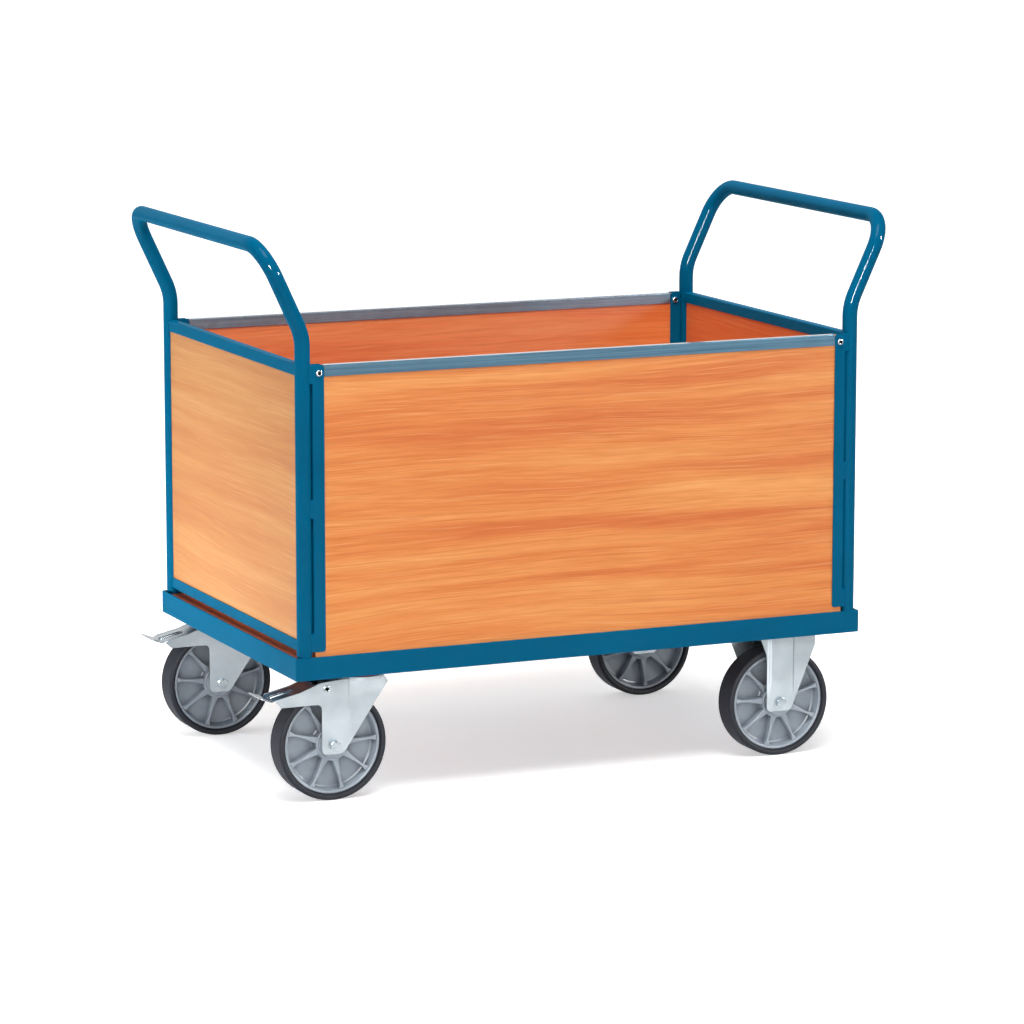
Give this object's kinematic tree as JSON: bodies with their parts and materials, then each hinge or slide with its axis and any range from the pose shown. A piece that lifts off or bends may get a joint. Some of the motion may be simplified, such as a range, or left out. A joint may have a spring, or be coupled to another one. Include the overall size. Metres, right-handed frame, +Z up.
{
  "type": "four-sided platform trolley",
  "caption": "Platform trolley with board walls on all sides, bent tube push hoops at both ends, braked swivel castors and fixed castors.",
  "frame": {"origin": "on the floor under the middle of the platform", "axes": "+X along the length towards the fixed castors, +Y across, +Z up"},
  "size_m": [1.2306, 0.7016, 0.9945],
  "materials": {
    "blue_powder_coat": "glossy powder coat",
    "beech_decor_board": "satin melamine in a beech decor",
    "brown_deck_board": "satin film-faced board",
    "galvanised_strip": "galvanised, dull",
    "zinc_fasteners": "bright zinc plated",
    "zinc_plated_pressing": "bright zinc plated",
    "bearing_steel": "ground steel",
    "red_seal_plastic": "moulded, satin",
    "brake_rubber": "matte",
    "grey_wheel_plastic": "moulded, satin",
    "grey_solid_rubber": "matte"
  },
  "bodies": {
    "trolley": {"front_rail": "blue_powder_coat", "back_rail": "blue_powder_coat", "left_rail": "blue_powder_coat", "right_rail": "blue_powder_coat", "cross_members": "blue_powder_coat", "hoop_sockets": "blue_powder_coat", "left_hoop": "blue_powder_coat", "right_hoop": "blue_powder_coat", "left_end_bars": "blue_powder_coat", "right_end_bars": "blue_powder_coat", "left_hoop_channels": "blue_powder_coat", "right_hoop_channels": "blue_powder_coat", "front_panel": "beech_decor_board", "back_panel": "beech_decor_board", "left_end_panel": "beech_decor_board", "right_end_panel": "beech_decor_board", "deck_board": "brown_deck_board", "front_cap": "galvanised_strip", "back_cap": "galvanised_strip", "wall_screws": "zinc_fasteners", "sleeve_nuts": "zinc_fasteners", "plate_bolts": "zinc_fasteners", "plate_nuts": "zinc_fasteners", "front_swivel_plate": "zinc_plated_pressing", "back_swivel_plate": "zinc_plated_pressing", "front_king_pin": "bearing_steel", "back_king_pin": "bearing_steel", "front_fixed_fork": "zinc_plated_pressing", "back_fixed_fork": "zinc_plated_pressing", "fixed_axles": "zinc_fasteners", "fixed_axle_nuts": "zinc_fasteners"},
    "front_swivel": {"front_swivel_fork": "zinc_plated_pressing", "front_dust_seal": "red_seal_plastic", "front_swivel_balls": "bearing_steel", "front_brake_rivets": "zinc_fasteners", "front_swivel_axle": "zinc_fasteners", "front_swivel_axle_nut": "zinc_fasteners"},
    "front_pedal": {"front_brake_pedal": "zinc_plated_pressing", "front_brake_shoe": "brake_rubber"},
    "back_swivel": {"back_swivel_fork": "zinc_plated_pressing", "back_dust_seal": "red_seal_plastic", "back_swivel_balls": "bearing_steel", "back_brake_rivets": "zinc_fasteners", "back_swivel_axle": "zinc_fasteners", "back_swivel_axle_nut": "zinc_fasteners"},
    "back_pedal": {"back_brake_pedal": "zinc_plated_pressing", "back_brake_shoe": "brake_rubber"},
    "front_left_wheel": {"front_left_rim": "grey_wheel_plastic", "front_left_tyre": "grey_solid_rubber", "front_left_bearings": "bearing_steel"},
    "back_left_wheel": {"back_left_rim": "grey_wheel_plastic", "back_left_tyre": "grey_solid_rubber", "back_left_bearings": "bearing_steel"},
    "front_right_wheel": {"front_right_rim": "grey_wheel_plastic", "front_right_tyre": "grey_solid_rubber", "front_right_bearings": "bearing_steel"},
    "back_right_wheel": {"back_right_rim": "grey_wheel_plastic", "back_right_tyre": "grey_solid_rubber", "back_right_bearings": "bearing_steel"}
  },
  "joints": [
    {"name": "front_swivel_turn", "type": "hinge", "parent": "trolley", "child": "front_swivel", "pos_m": [-0.407, -0.285, 0.2165], "axis": [0, 0, 1], "continuous": true},
    {"name": "front_brake_press", "type": "hinge", "parent": "front_swivel", "child": "front_pedal", "pos_m": [-0.4805, -0.285, 0.201], "axis": [0, -1, 0], "range_deg": [0, 12]},
    {"name": "front_left_wheel_spin", "type": "hinge", "parent": "front_swivel", "child": "front_left_wheel", "pos_m": [-0.467, -0.285, 0.1], "axis": [0, 1, 0], "continuous": true},
    {"name": "front_right_wheel_spin", "type": "hinge", "parent": "trolley", "child": "front_right_wheel", "pos_m": [0.407, -0.285, 0.1], "axis": [0, 1, 0], "continuous": true},
    {"name": "back_swivel_turn", "type": "hinge", "parent": "trolley", "child": "back_swivel", "pos_m": [-0.407, 0.285, 0.2165], "axis": [0, 0, 1], "continuous": true},
    {"name": "back_brake_press", "type": "hinge", "parent": "back_swivel", "child": "back_pedal", "pos_m": [-0.4805, 0.285, 0.201], "axis": [0, -1, 0], "range_deg": [0, 12]},
    {"name": "back_left_wheel_spin", "type": "hinge", "parent": "back_swivel", "child": "back_left_wheel", "pos_m": [-0.467, 0.285, 0.1], "axis": [0, 1, 0], "continuous": true},
    {"name": "back_right_wheel_spin", "type": "hinge", "parent": "trolley", "child": "back_right_wheel", "pos_m": [0.407, 0.285, 0.1], "axis": [0, 1, 0], "continuous": true}
  ]
}
